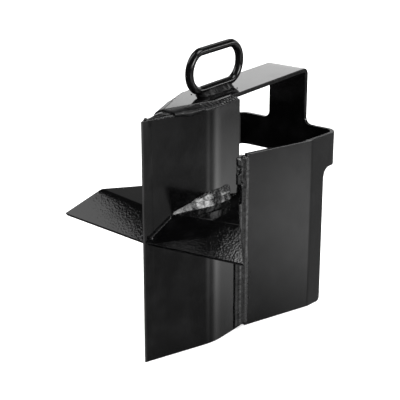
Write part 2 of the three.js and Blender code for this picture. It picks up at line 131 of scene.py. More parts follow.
CAMERA_TARGET = Vector((55.4, 11.9, 166.7)) * MM
CAMERA_AZIMUTH = math.radians(126.5)
CAMERA_ELEVATION = math.radians(20.2)
CAMERA_DISTANCE = 1.31
CAMERA_LENS = 108


def make_camera():
    data = bpy.data.cameras.new("camera")
    data.lens = CAMERA_LENS
    data.sensor_width = 36
    camera = bpy.data.objects.new("camera", data)
    bpy.context.scene.collection.objects.link(camera)
    across = math.cos(CAMERA_ELEVATION)
    back = Vector((
        math.sin(CAMERA_AZIMUTH) * across,
        -math.cos(CAMERA_AZIMUTH) * across,
        math.sin(CAMERA_ELEVATION),
    ))
    camera.location = CAMERA_TARGET + back * CAMERA_DISTANCE
    camera.rotation_mode = "QUATERNION"
    camera.rotation_quaternion = (-back).to_track_quat("-Z", "Y")
    bpy.context.scene.camera = camera


make_camera()

# ---------------------------------------------------------------------------- materials


class Graph:
    """Short way to add and link shader nodes in one material or world."""

    def __init__(self, tree):
        self.tree = tree
        self.tree.nodes.clear()

    def node(self, kind, **settings):
        made = self.tree.nodes.new(kind)
        for key, value in settings.items():
            setattr(made, key, value)
        return made

    def link(self, source, target):
        self.tree.links.new(source, target)

    def feed(self, socket, value):
        if isinstance(value, bpy.types.NodeSocket):
            self.link(value, socket)
        else:
            socket.default_value = value

    def math(self, operation, a, b=0.0):
        made = self.node("ShaderNodeMath", operation=operation)
        self.feed(made.inputs[0], a)
        self.feed(made.inputs[1], b)
        return made.outputs[0]

    def noise(self, vector, scale, detail=2.0, rough=0.5):
        made = self.node("ShaderNodeTexNoise")
        self.link(vector, made.inputs["Vector"])
        made.inputs["Scale"].default_value = scale
        made.inputs["Detail"].default_value = detail
        made.inputs["Roughness"].default_value = rough
        return made.outputs["Fac"]

    def ramp(self, value, lo, hi, to_lo, to_hi):
        made = self.node("ShaderNodeMapRange", interpolation_type="SMOOTHSTEP")
        self.link(value, made.inputs["Value"])
        made.inputs["From Min"].default_value = lo
        made.inputs["From Max"].default_value = hi
        made.inputs["To Min"].default_value = to_lo
        made.inputs["To Max"].default_value = to_hi
        return made.outputs["Result"]

    def blend(self, factor, a, b):
        made = self.node("ShaderNodeMix", data_type="RGBA")
        self.link(factor, made.inputs["Factor"])
        self.feed(made.inputs[6], a)
        self.feed(made.inputs[7], b)
        return made.outputs[2]

    def pick(self, factor, a, b):
        """The value a where the factor is 0 and b where it is 1."""
        made = self.node("ShaderNodeMix", data_type="FLOAT")
        self.link(factor, made.inputs[0])
        self.feed(made.inputs[2], a)
        self.feed(made.inputs[3], b)
        return made.outputs[0]

    def bump(self, height, distance, strength, normal=None):
        made = self.node("ShaderNodeBump")
        self.link(height, made.inputs["Height"])
        made.inputs["Distance"].default_value = distance
        made.inputs["Strength"].default_value = strength
        if normal is not None:
            self.link(normal, made.inputs["Normal"])
        return made.outputs["Normal"]


# Base colours of the paint in linear light.
FILM_COLOUR = (0.0012, 0.0012, 0.0013, 1)
THIN_COLOUR = (0.004, 0.004, 0.0042, 1)
FLECK_COLOUR = (0.02, 0.02, 0.02, 1)
RUBBED_COLOUR = (0.012, 0.012, 0.0125, 1)
BEAD_COLOUR = (0.002, 0.002, 0.0022, 1)
SCALE_COLOUR = (0.008, 0.008, 0.0085, 1)
# Darker spots on the weld beads: painted shade standing in for the shade inside pits.
PIT_SHADE_COLOUR = (0.0006, 0.0006, 0.0006, 1)
PAINT_IOR = 1.5

# Heights of the bumps in the paint's surface.
WAVE_DEPTH = 1.0 * MM
PEEL_DEPTH = 0.04 * MM
GRIT_DEPTH = 0.004 * MM
LUMP_DEPTH = 0.25 * MM
GRAIN_DEPTH = 0.008 * MM


def paint_graph(name, shine):
    """New paint material: the material, its graph, its shader and object coordinates."""
    material = bpy.data.materials.new(name)
    material.use_nodes = True
    g = Graph(material.node_tree)
    out = g.node("ShaderNodeOutputMaterial")
    paint = g.node("ShaderNodeBsdfPrincipled")
    paint.inputs["IOR"].default_value = PAINT_IOR
    paint.inputs["Specular IOR Level"].default_value = shine
    g.link(paint.outputs["BSDF"], out.inputs["Surface"])
    where = g.node("ShaderNodeTexCoord").outputs["Object"]
    return material, g, paint, where


def enamel(name, peel, wave, rough, peel_scale=330, shine=0.5):
    """Gloss black enamel sprayed on steel plate: orange peel, long waves and thin spots."""
    material, g, paint, where = paint_graph(name, shine)

    mottle = g.noise(where, 38, 4, 0.6)
    colour = g.blend(g.ramp(mottle, 0.42, 0.72, 0.0, 1.0), FILM_COLOUR, THIN_COLOUR)
    fleck = g.noise(where, 900, 2, 0.5)
    colour = g.blend(g.ramp(fleck, 0.70, 0.78, 0.0, 0.6), colour, FLECK_COLOUR)
    wear = g.node("ShaderNodeNewGeometry").outputs["Pointiness"]
    edge = g.ramp(wear, 0.53, 0.60, 0.0, 1.0)
    rub = g.math("MULTIPLY", edge, g.ramp(mottle, 0.35, 0.65, 0.15, 0.8))
    colour = g.blend(rub, colour, RUBBED_COLOUR)
    g.link(colour, paint.inputs["Base Color"])

    smudge = g.noise(where, 24, 5, 0.65)
    speck = g.noise(where, 420, 3, 0.6)
    gloss = g.ramp(smudge, 0.42, 0.80, rough, rough + 0.05)
    gloss = g.math("ADD", gloss, g.ramp(speck, 0.62, 0.80, 0.0, 0.08))
    g.link(gloss, paint.inputs["Roughness"])

    long_wave = g.bump(g.noise(where, 17, 1, 0.4), WAVE_DEPTH, wave)
    skin = g.bump(g.noise(where, peel_scale, 2, 0.45), PEEL_DEPTH, peel, long_wave)
    grit = g.bump(g.noise(where, 1500, 1, 0.5), GRIT_DEPTH, 0.5, skin)
    g.link(grit, paint.inputs["Normal"])
    return material


def bead_enamel(name, rough, pits, shine=0.5):
    """The same enamel over as-laid weld metal: pits darkened with painted shade, spatter grain
    and uneven gloss.
    """
    material, g, paint, where = paint_graph(name, shine)

    scale = g.ramp(g.noise(where, 160, 4, 0.6), 0.40, 0.70, 0.0, 1.0)
    colour = g.blend(scale, BEAD_COLOUR, SCALE_COLOUR)
    # Random dark spots on the bead: painted shade of pits, not a colour of the weld.
    pit = g.ramp(g.noise(where, 700, 2, 0.5), 0.26, 0.38, 1.0, 0.0)
    colour = g.blend(pit, colour, PIT_SHADE_COLOUR)
    g.link(colour, paint.inputs["Base Color"])
    gloss = g.ramp(g.noise(where, 240, 3, 0.6), 0.35, 0.70, rough, rough + 0.18)
    g.link(gloss, paint.inputs["Roughness"])

    lumps = g.bump(g.noise(where, 300, 2, 0.5), LUMP_DEPTH, pits)
    grain = g.bump(g.noise(where, 1500, 1, 0.5), GRAIN_DEPTH, 0.5, lumps)
    g.link(grain, paint.inputs["Normal"])
    return material


BLADE_ENAMEL = enamel("black_enamel_blade", peel=0.11, wave=0.08, rough=0.13)
BODY_ENAMEL = enamel("black_enamel_body", peel=0.10, wave=0.04, rough=0.075)
FLUKE_ENAMEL = enamel("black_enamel_fluke", peel=0.9, wave=0.10, rough=0.03, peel_scale=480)
RING_ENAMEL = enamel("black_enamel_ring", peel=0.9, wave=0.10, rough=0.14, shine=0.33)
BEAD_ENAMEL = bead_enamel("weld_enamel_rough", rough=0.16, pits=0.14)
GROUND_ENAMEL = bead_enamel("weld_enamel_ground", rough=0.26, pits=0.12, shine=0.16)

# ------------------------------------------------------------------------- mesh helpers


def finish_piece(name, mesh, material, node, bevel=EDGE_ROUND):
    piece = bpy.data.objects.new(name, mesh)
    bpy.context.scene.collection.objects.link(piece)
    mesh.materials.append(material)
    for face in mesh.polygons:
        face.use_smooth = True
    if bevel:
        rounding = piece.modifiers.new("edge_round", "BEVEL")
        rounding.width = bevel
        rounding.segments = 3
        rounding.limit_method = "ANGLE"
        rounding.angle_limit = math.radians(48)
        rounding.harden_normals = True
    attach(piece, "root")
    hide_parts(node)
    return piece


def mesh_from(name, points, faces):
    """Closed mesh with its faces turned outwards."""
    built = bmesh.new()
    verts = [built.verts.new(p) for p in points]
    for face in faces:
        ring = []
        for index in face:
            if verts[index] not in ring:
                ring.append(verts[index])
        if len(ring) > 2:
            built.faces.new(ring)
    bmesh.ops.remove_doubles(built, verts=built.verts, dist=1e-6)
    bmesh.ops.dissolve_degenerate(built, edges=built.edges, dist=1e-6)
    bmesh.ops.recalc_face_normals(built, faces=built.faces)
    mesh = bpy.data.meshes.new(name)
    built.to_mesh(mesh)
    built.free()
    return mesh


def tube_faces(ring, rows):
    """Faces of a closed tube: rows of ring points each, with a cap on both ends."""
    faces = [tuple(range(ring))]
    for row in range(rows - 1):
        a = row * ring
        for i in range(ring):
            j = (i + 1) % ring
            faces.append((a + i, a + j, a + ring + j, a + ring + i))
    last = (rows - 1) * ring
    faces.append(tuple(reversed(range(last, last + ring))))
    return faces


class Sheet:
    """A plate as two skins of paired points, closed along every free edge."""

    def __init__(self):
        self.outer = []
        self.inner = []
        self.keys = {}
        self.quads = []

    def point(self, outer, inner):
        key = tuple(round(c, 7) for c in (*outer, *inner))
        if key not in self.keys:
            self.keys[key] = len(self.outer)
            self.outer.append(outer)
            self.inner.append(inner)
        return self.keys[key]

    def grid(self, columns):
        """columns is a list of columns, each a list of (outer, inner) points."""
        ids = [[self.point(*pair) for pair in column] for column in columns]
        for left, right in zip(ids[:-1], ids[1:]):
            for row in range(len(left) - 1):
                self.quads.append((left[row], right[row], right[row + 1], left[row + 1]))

    def mesh(self, name):
        count = len(self.outer)
        faces = []
        edges = {}
        for quad in self.quads:
            ring = [v for i, v in enumerate(quad) if v != quad[i - 1]]
            if len(ring) < 3:
                continue
            faces.append(tuple(ring))
            faces.append(tuple(v + count for v in reversed(ring)))
            for a, b in zip(ring, ring[1:] + ring[:1]):
                edges.setdefault(frozenset((a, b)), []).append((a, b))
        for uses in edges.values():
            if len(uses) == 1:
                a, b = uses[0]
                faces.append((b, a, a + count, b + count))
        return mesh_from(name, self.outer + self.inner, faces)


# -------------------------------------------------------------------------------- blade


def blade_bend_range():
    tangent = BLADE_BEND * math.tan(BLADE_ANGLE / 2)
    end = BLADE_HALF / math.tan(BLADE_ANGLE) + tangent
    return end - BLADE_BEND * math.sin(BLADE_ANGLE), end


BEND_START, BEND_END = blade_bend_range()


def blade_half(setback):
    """Half width over the blade's outside faces."""
    if setback <= BEND_START:
        return setback * math.tan(BLADE_ANGLE)
    reach = max(0.0, BEND_END - setback)
    return BLADE_HALF - (BLADE_BEND - math.sqrt(BLADE_BEND ** 2 - reach ** 2))


def blade_normal(setback):
    """Outward direction of the left blade face as (setback, y)."""
    if setback <= BEND_START:
        angle = BLADE_ANGLE
    else:
        angle = math.asin(max(0.0, BEND_END - setback) / BLADE_BEND)
    return -math.sin(angle), math.cos(angle)


# Setback where the plates' inside faces meet the nose weld.
NOSE_SHOULDER = PLATE / math.tan(BLADE_ANGLE) * math.cos(BLADE_ANGLE)
NOSE_ROUND = 0.2 * MM

# How far the right plate's top edge is ground down, and the setbacks between which the
# grinding fades in and out.
GRIND_DEPTH = 5.0 * MM
GRIND_IN = (8 * MM, 25 * MM)
GRIND_OUT = (84 * MM, 118 * MM)


def ground_off(setback, side, y):
    """How far the grinder took the blade's top edge down: only in front on the right side."""
    if side > 0:
        return 0.0
    along = rise(setback, *GRIND_IN) * (1 - rise(setback, *GRIND_OUT))
    return GRIND_DEPTH * along * min(1.0, max(0.0, y / blade_half(setback)))


def blade_plate(label, side):
    sheet = Sheet()
    front = NOSE_SHOULDER + 0.02 * MM
    stations = spread(front, BEND_START, 8) + spread(BEND_START, BEND_END, 14)[1:]
    stations += spread(BEND_END, BLADE_REAR, 5)[1:]
    columns = []
    for setback in stations:
        ns, ny = blade_normal(setback)
        outside = blade_half(setback)
        inside = outside - ny * PLATE
        outer_top = BLADE_TOP - ground_off(setback, side, outside)
        inner_top = BLADE_TOP - ground_off(setback, side, inside)
        column = []
        for z in spread(0, 1, 16):
            outer = at(setback, side * outside, z * outer_top)
            inner = at(setback - ns * PLATE, side * inside, z * inner_top)
            column.append((outer, inner))
        columns.append(column)
    sheet.grid(columns)
    node = f"blade_plate_{label}"
    name = f"{node}_painted"
    finish_piece(name, sheet.mesh(name), BLADE_ENAMEL, node, NOSE_ROUND)


def apex_weld():
    """Ground nose: a kite section with a tiny flat nose and a lumpy top end."""
    root = PLATE / math.sin(BLADE_ANGLE)
    nose = 0.9 * MM
    nose_half = nose * math.tan(BLADE_ANGLE)
    section = [(nose * 0.35, 0.0), (nose, nose_half)]
    section += [(s, s * math.tan(BLADE_ANGLE)) for s in spread(nose, NOSE_SHOULDER, 5)[1:]]
    section += [(root, 0.0)]
    section += [(s, -y) for s, y in reversed(section[1:-1])]
    heights = spread(0, BLADE_TOP, 60)
    points = []
    for z in heights:
        crown = rise(z, BLADE_TOP - 9 * MM, BLADE_TOP)
        for s, y in section:
            grind = noise.noise(Vector((s, y, z)) * 160) * 0.12 * MM
            lump = crown * 0.5 * MM * noise.noise(Vector((s * 2, y * 2, z)) * 260)
            grow = 1 + (grind + lump) / (6 * MM) if abs(y) > 0 else 1.0
            points.append(at(s, y * grow, z))
    faces = tube_faces(len(section), len(heights))
    finish_piece(
        "apex_weld_ground", mesh_from("apex_weld_ground", points, faces),
        BLADE_ENAMEL, "apex_weld", NOSE_ROUND,
    )


# ------------------------------------------------------------------- housing and handle


def housing_path():
    """Stations along the left half of the blank: setback, y, and the outward direction."""
    a, f = HOUSING_FLARE, FLANK_FLARE
    fold_y = HOUSING_FRONT_HALF + (FLANK_FOLD - HOUSING_FRONT) * math.tan(a)
    tangent = FLANK_ROUND * math.tan((a - f) / 2)
    fold_s = FLANK_FOLD - tangent * math.cos(a) + FLANK_ROUND * math.sin(a)
    fold_cy = fold_y - tangent * math.sin(a) - FLANK_ROUND * math.cos(a)
    centre_s = REAR - HOUSING_CORNER
    centre_y = fold_y + (centre_s - FLANK_FOLD) * math.tan(f) - HOUSING_CORNER / math.cos(f)

    def on_panel(setback):
        y = HOUSING_FRONT_HALF + (setback - HOUSING_FRONT) * math.tan(a)
        return setback, y, -math.sin(a), math.cos(a)

    def on_flank(setback):
        y = fold_y + (setback - FLANK_FOLD) * math.tan(f)
        return setback, y, -math.sin(f), math.cos(f)

    def on_arc(s, y, radius, angle):
        ns, ny = math.cos(angle), math.sin(angle)
        return s + radius * ns, y + radius * ny, ns, ny

    square = math.pi / 2
    panel_end = FLANK_FOLD - tangent * math.cos(a)
    flank_end = centre_s - HOUSING_CORNER * math.sin(f)
    fold = spread(square + a, square + f, 10)[1:]
    turn = spread(square + f, 0, 20)[1:]
    panel = [on_panel(s) for s in spread(HOUSING_FRONT, panel_end, 14)]
    panel += [on_arc(fold_s, fold_cy, FLANK_ROUND, t) for t in fold]
    panel += [on_flank(s) for s in spread(panel[-1][0], PANEL_REAR - PANEL_TOE, 3)[1:]]
    panel += [on_flank(PANEL_REAR - PANEL_TOE * math.cos(t)) for t in spread(0, square, 6)[1:]]
    corner = [on_flank(s) for s in spread(PANEL_REAR, flank_end, 10)[1:]]
    corner += [on_arc(centre_s, centre_y, HOUSING_CORNER, t) for t in turn]
    foot = STRAP_HALF + TONGUE_FILLET
    rear = [(REAR, y, 1.0, 0.0) for y in spread(centre_y, foot, 4)[1:]]
    fillet = spread(0, square, 8)[1:]
    rear += [(REAR, foot - TONGUE_FILLET * math.sin(t), 1.0, 0.0) for t in fillet]
    rear += [(REAR, y, 1.0, 0.0) for y in spread(STRAP_HALF, 0, 6)[1:]]
    return panel, corner + rear


def window_edge(setback):
    """Height of the band's lower edge, with its fillet to the panel's free edge."""
    top = HOUSING_TOP - BAND_HEIGHT
    reach = max(0.0, PANEL_REAR + WINDOW_FILLET - setback)
    return top - WINDOW_FILLET + math.sqrt(max(0.0, WINDOW_FILLET ** 2 - reach ** 2))


def toe_edge(setback):
    reach = max(0.0, setback - PANEL_REAR + PANEL_TOE)
    return PANEL_TOE - math.sqrt(max(0.0, PANEL_TOE ** 2 - reach ** 2))


def top_edge(setback, y):
    if setback < REAR - MM or y > STRAP_HALF + TONGUE_FILLET:
        return HOUSING_TOP
    reach = max(0.0, min(TONGUE_FILLET, STRAP_HALF + TONGUE_FILLET - y))
    return HOUSING_TOP + TONGUE_FILLET - math.sqrt(max(0.0, TONGUE_FILLET ** 2 - reach ** 2))


def strap_stations():
    """Stations from the tongue's foot round to the strap: setback, z and outward direction."""
    centre_s = REAR - STRAP_BEND
    centre_z = STRAP_TOP - STRAP_BEND
    tongue = [(REAR, z, 1.0, 0.0) for z in spread(HOUSING_TOP + TONGUE_FILLET, centre_z, 6)]
    bend = []
    for t in spread(0, math.pi / 2, 12)[1:]:
        ns, nz = math.cos(t), math.sin(t)
        bend.append((centre_s + STRAP_BEND * ns, centre_z + STRAP_BEND * nz, ns, nz))
    return tongue + bend


def housing_with_handle():
    sheet = Sheet()
    panel, rear = housing_path()
    shelf = HOUSING_TOP - BAND_HEIGHT - WINDOW_FILLET

    def column(station, side, heights):
        s, y, ns, ny = station
        inner_s, inner_y = s - ns * PLATE, y - ny * PLATE
        return [(at(s, side * y, z), at(inner_s, side * inner_y, z)) for z in heights]

    for side in (1, -1):
        low = [column(p, side, spread(toe_edge(p[0]), shelf, 12)) for p in panel]
        sheet.grid(low)
        high = [column(p, side, spread(shelf, HOUSING_TOP, 8)) for p in panel]
        band = [
            column(p, side, spread(window_edge(p[0]), top_edge(p[0], p[1]), 8)) for p in rear
        ]
        sheet.grid(high)
        sheet.grid(high[-1:] + band)

    columns = []
    slope = (STRAP_SHOULDER - STRAP_TIP) / STRAP_HALF
    for y in spread(-STRAP_HALF, STRAP_HALF, 12):
        column_points = []
        for s, z, ns, nz in strap_stations():
            column_points.append((at(s, y, z), at(s - ns * PLATE, y, z - nz * PLATE)))
        front = STRAP_TIP + abs(y) * slope
        for s in spread(REAR - STRAP_BEND, front, 22)[1:]:
            column_points.append((at(s, y, STRAP_TOP), at(s, y, STRAP_TOP - PLATE)))
        columns.append(column_points)
    sheet.grid(columns)
    name = "housing_with_handle_painted"
    finish_piece(name, sheet.mesh(name), BODY_ENAMEL, "housing_with_handle")


# ------------------------------------------------------------------------------- flukes


class FlukeShape:
    """Top faces of a fluke on one side: share in front of the fold, wing behind it."""

    def __init__(self, side):
        self.side = side
        self.front = self.corner(FLUKE_ROOT_FRONT)
        self.tip = self.corner(FLUKE_TIP)
        self.shoulder = self.corner(FLUKE_CORNER)
        self.rear = self.corner(FLUKE_ROOT_REAR)
        self.share = (self.tip - self.front).cross(self.shoulder - self.front).normalized()
        if self.share.z < 0:
            self.share.negate()
        self.fold = self.on_blade(FLUKE_FOLD, self.front, self.share)
        self.wing = (self.shoulder - self.fold).cross(self.rear - self.fold).normalized()
        if self.wing.z < 0:
            self.wing.negate()

    def corner(self, point):
        return at(point[0], self.side * point[1], point[2])

    def on_blade(self, setback, base, normal):
        """Point of a plane over the blade's outside face."""
        p = at(setback, self.side * blade_half(setback), 0)
        p.z = base.z - (normal.x * (p.x - base.x) + normal.y * (p.y - base.y)) / normal.z
        return p

    def root(self, setback):
        if setback < FLUKE_FOLD:
            return self.on_blade(setback, self.front, self.share)
        return self.on_blade(setback, self.fold, self.wing)


def clear_of_blade(p, side):
    setback = NOSE_X - p.x
    limit = blade_half(max(0.0, setback)) + GAP
    if side * p.y < limit:
        p = Vector((p.x, side * limit, p.z))
    return p


# Share of the front face that bends over into the wing, and where the flat wing starts.
FOLD_ZONE = 0.05
WING_START = 0.02
FLUKE_ROUND = 0.25 * MM


def fold_curve(a, ridge, b, t):
    """Point on the curve from a to b that is drawn towards ridge."""
    return a * (1 - t) ** 2 + ridge * 2 * t * (1 - t) + b * t * t


def fluke_rows(shape):
    """Rows from the front edge back over the fold to the rear: root, tip and normal."""
    rows = []
    for t in spread(0, 1 - FOLD_ZONE, 10):
        root = shape.front.lerp(shape.fold, t)
        rows.append((root, shape.tip.lerp(shape.shoulder, t), shape.share))
    span = FLUKE_ROOT_REAR[0] - FLUKE_FOLD
    rear_tip = shape.rear + Vector((0.6 * MM, shape.side * 1.6 * MM, 0))

    def wing_row(t):
        return shape.root(FLUKE_FOLD + span * t), shape.shoulder.lerp(rear_tip, t)

    a_root, a_tip = rows[-1][0], rows[-1][1]
    b_root, b_tip = wing_row(WING_START)
    for t in spread(0, 1, 6)[1:-1]:
        normal = shape.share.lerp(shape.wing, t).normalized()
        root = fold_curve(a_root, shape.fold, b_root, t)
        rows.append((root, fold_curve(a_tip, shape.shoulder, b_tip, t), normal))
    for t in spread(WING_START, 1, 22):
        rows.append((*wing_row(t), shape.wing))
    return rows


def fluke(label, shape):
    sheet = Sheet()
    rows = fluke_rows(shape)
    columns = []
    for u in spread(0, 1, 26):
        column = []
        for root, tip, normal in rows:
            top = clear_of_blade(root.lerp(tip, u), shape.side)
            under = clear_of_blade(root.lerp(tip, u) - normal * PLATE, shape.side)
            column.append((top, under))
        columns.append(column)
    sheet.grid(columns)
    node = f"fluke_{label}"
    name = f"{node}_painted"
    plate = finish_piece(name, sheet.mesh(name), FLUKE_ENAMEL, node, FLUKE_ROUND)
    plate.modifiers["edge_round"].use_clamp_overlap = False


# -------------------------------------------------------------------------- weld beads


def ripple(along, across, pitch, seed):
    """Crescent ripples of a hand-laid bead, 0 to 1."""
    wander = 0.25 * noise.noise(Vector((along / pitch * 0.4, seed, 0.0)))
    phase = along / pitch - 0.55 * (2 * across - 1) ** 2 + wander
    saw = phase - math.floor(phase)
    return 1 - abs(2 * saw - 1) ** 1.6


# Lumps in the beads are about 8 mm apart.
LUMP_SCALE = 120


def fillet_bead(stations, seed, pitch, relief, lump, across=14, bulge=0.30):
    """Closed bead in the corner between a wall and a plate.

    Each station is (root point, direction up the wall, direction out on the plate,
    wall leg, plate leg). Returns points and faces.
    """
    points = []
    travelled = 0.0
    last = stations[0][0]
    for index, (root, up, out, wall_leg, plate_leg) in enumerate(stations):
        travelled += (root - last).length
        last = root
        share = index / (len(stations) - 1)
        taper = min(1.0, math.sqrt(max(0.0, 1 - (2 * share - 1) ** 10)) + 0.05)
        edge = 1 + 0.14 * noise.noise(Vector((travelled * LUMP_SCALE, seed * 3.1, 1.7)))
        toe = 1 + 0.14 * noise.noise(Vector((travelled * LUMP_SCALE, seed * 3.1, 8.3)))
        a = up * wall_leg * edge * taper
        b = out * plate_leg * toe * taper
        outward = (up.normalized() + out.normalized()).normalized()
        section = []
        for i in range(across + 1):
            f = i / across
            arch = 4 * f * (1 - f)
            base = root + a * (1 - f) + b * f
            high = bulge * min(a.length, b.length) * arch
            high += relief * ripple(travelled, f, pitch, seed) * min(1.0, arch * 1.6) * taper
            high += lump * arch * taper * noise.noise(base * LUMP_SCALE + Vector((seed, 0, 0)))
            section.append(base + outward * high)
        points.extend([root + outward * 0.05 * MM, *section])
    return points, tube_faces(across + 2, len(stations))


def join_shells(shells):
    points, faces = [], []
    for shell_points, shell_faces in shells:
        start = len(points)
        points.extend(shell_points)
        faces.extend(tuple(i + start for i in face) for face in shell_faces)
    return points, faces


def spatter(centre, radius, seed):
    """One small drop of spatter, a squashed rough ball."""
    ball = bmesh.new()
    bmesh.ops.create_icosphere(ball, subdivisions=2, radius=radius)
    points = []
    for vert in ball.verts:
        swell = 1 + 0.2 * noise.noise(vert.co * 900 + Vector((seed, 0, 0)))
        points.append(centre + vert.co * swell)
    faces = [tuple(v.index for v in face.verts) for face in ball.faces]
    ball.free()
    return points, faces


def bead_piece(node, shells, material=BEAD_ENAMEL):
    points, faces = join_shells(shells)
    name = f"{node}_bead"
    finish_piece(name, mesh_from(name, points, faces), material, node, bevel=0)


def fluke_stations(shape, s0, s1, count, wall_leg, plate_leg, above=True):
    """Stations of a bead along a fluke's root. The legs are functions of the way along."""
    stations = []
    for t in spread(0, 1, count):
        setback = s0 + (s1 - s0) * t
        root = shape.root(setback)
        ns, ny = blade_normal(setback)
        wall = Vector((-ns, shape.side * ny, 0))
        ease = smooth((setback - FLUKE_FOLD + 5 * MM) / (10 * MM))
        face = shape.share.lerp(shape.wing, ease).normalized()
        sign = 1 if above else -1
        if not above:
            root = root - face * PLATE
        up = Vector((0, 0, sign))
        out = (wall - face * wall.dot(face)).normalized()
        root = root + wall * GAP
        stations.append((root, up, out, wall_leg(t), plate_leg(t)))
    return stations


# Spatter round the rear fluke bead: station, distance from the blade in mm, radius in mm.
FLUKE_DROPS = ((20, 7, 0.7), (60, 9, 0.6), (95, 7, 0.8), (150, 8.5, 0.6), (190, 8, 0.7))
# The rear bead is laid in two passes. The second starts at this station of the first, and
# at this share of its height up the blade.
SECOND_PASS = 60
SECOND_PASS_HEIGHT = 0.72


def fluke_front_bead(label, shape):
    """Thin bead from the nose to the fold, with a lump at the nose."""
    thin = fluke_stations(
        shape, FLUKE_ROOT_FRONT[0] + 2 * MM, FLUKE_FOLD - 2 * MM, 70,
        lambda t: 2.2 * MM, lambda t: 2.4 * MM,
    )
    nose_lump = spatter(thin[8][0] + thin[8][2] * 2 * MM, 2.4 * MM, 3)
    front = fillet_bead(thin, 3 + shape.side, 4 * MM, 0.10 * MM, 0.25 * MM, bulge=0.4)
    bead_piece(f"fluke_weld_front_{label}", [front, nose_lump])


def fluke_rear_bead(label, shape):
    """Wide bead behind the fold: a low pass in the corner and a high one on the blade."""
    low = fluke_stations(
        shape, FLUKE_FOLD - 2 * MM, FLUKE_ROOT_REAR[0] - 16 * MM, 230,
        lambda t: (3.5 + 6.5 * smooth(t * 2.4)) * MM,
        lambda t: (1.0 + 3.2 * smooth((t - 0.1) * 2.0)) * MM,
    )
    high = []
    climb = low[SECOND_PASS:]
    for index, (root, up, out, wall_leg, _) in enumerate(climb):
        leg = (3 + 6.5 * smooth(2.2 * index / len(climb))) * MM
        high.append((root + up * wall_leg * SECOND_PASS_HEIGHT, up, out, leg, leg * 0.25))
    drops = []
    for k, distance, radius in FLUKE_DROPS:
        spot = low[k][0] + low[k][2] * distance * MM + Vector((0, 0, 0.2 * MM))
        drops.append(spatter(spot, radius * MM, k))
    side = shape.side
    first = fillet_bead(low, 11 + side, 5.0 * MM, 0.06 * MM, 0.20 * MM, across=18, bulge=0.0)
    second = fillet_bead(high, 17 + side, 5.5 * MM, 0.08 * MM, 0.35 * MM, across=16, bulge=-0.12)
    bead_piece(f"fluke_weld_rear_{label}", [first, second, *drops])


def fluke_under_bead(label, shape):
    under = fluke_stations(
        shape, FLUKE_FOLD + 1 * MM, FLUKE_ROOT_REAR[0] - 12 * MM, 170,
        lambda t: 5.5 * MM, lambda t: 5.5 * MM, above=False,
    )
    bead = fillet_bead(under, 23 + shape.side, 3.2 * MM, 0.45 * MM, 0.9 * MM)
    bead_piece(f"fluke_weld_under_{label}", [bead])


# The seam's lower and upper ends, the points across it, and how far it laps on the panel.
SEAM_LOW, SEAM_HIGH = 1.4 * MM, HOUSING_TOP - 1.6 * MM
SEAM_POINTS = 30
SEAM_LAP = 3.4 * MM
# Where the rope-like front part of the seam ends, and how it fades at the seam's ends.
ROPE_END = BLADE_REAR + 8.6 * MM
SEAM_FADE = 3 * MM
# Between these heights the fluke's edge is in the way, so the seam stays behind the blade.
FLUKE_CLEAR = (153.4 * MM, 176.1 * MM)
# Spatter on the panel: distance behind its front edge, height and radius, in mm.
SEAM_DROPS = (
    (5.2, 34, 0.9), (6.0, 41, 0.7), (4.6, 52, 1.0),
    (5.6, 60, 0.6), (6.8, 66, 0.5), (4.8, 78, 0.8),
)


def panel_half(setback):
    """Half width over the side panels' outside faces near their front edge."""
    return HOUSING_FRONT_HALF + max(0.0, setback - HOUSING_FRONT) * math.tan(HOUSING_FLARE)


def seam_relief(s, z, side, upper, across):
    """Roughness less pits at one spot. Above the fluke the seam is rough and pitted."""
    rough = noise.noise(Vector((s * 260, side * 4.0, z * 200))) * (0.03 + 0.37 * upper) * MM
    pit = max(0.0, noise.noise(Vector((s * 150, side * 9.0, z * 150))) - 0.12)
    return rough - upper * 11 * MM * pit * smooth((0.75 - across) * 4)


def seam_section(z, side):
    """Section of the seam at one height: (setback, y) from the blade's face to the panel."""
    upper = smooth((z - FLUKE_ROOT_REAR[2] - 1 * MM) / (5 * MM))
    wander = noise.noise(Vector((3.3, side * 2.0, z * 48)))
    knob = noise.noise(Vector((side * 5.0, 1.0, z * 70)))
    front = BLADE_REAR - (8.2 - 3.0 * upper + 1.0 * wander + 0.5 * knob) * MM
    crown = (3.6 - 0.6 * upper + 0.06 * ripple(z, 0.5, 6 * MM, side * 7.0) + 0.3 * knob) * MM
    lap = HOUSING_FRONT + SEAM_LAP + 1.0 * MM * wander
    face = BLADE_HALF + GAP
    fade = min(1.0, math.sqrt(max(0.03, min(z - SEAM_LOW, SEAM_HIGH - z) / SEAM_FADE)))
    outline = []
    for s in spread(front, lap, SEAM_POINTS - 1):
        across = (s - front) / (ROPE_END - front)
        rope = crown * math.sin(math.pi * across) ** 0.7 if 0 < across < 1 else 0.0
        climb = rise(s, BLADE_REAR + 2 * MM, HOUSING_FRONT - 1 * MM)
        slope = climb * (HOUSING_FRONT_HALF + 0.7 * MM - face)
        relief = seam_relief(s, z, side, upper, across) * min(1.0, rope / MM)
        y = face + (max(rope, slope) + relief) * fade
        if s > HOUSING_FRONT - 0.3 * MM:
            feather = max(0.0, (lap - s) / (lap - HOUSING_FRONT)) ** 0.7
            y = panel_half(s) + (0.05 + 0.65 * feather * fade) * MM
        outline.append((s, max(face + 0.03 * MM, y)))
    return outline


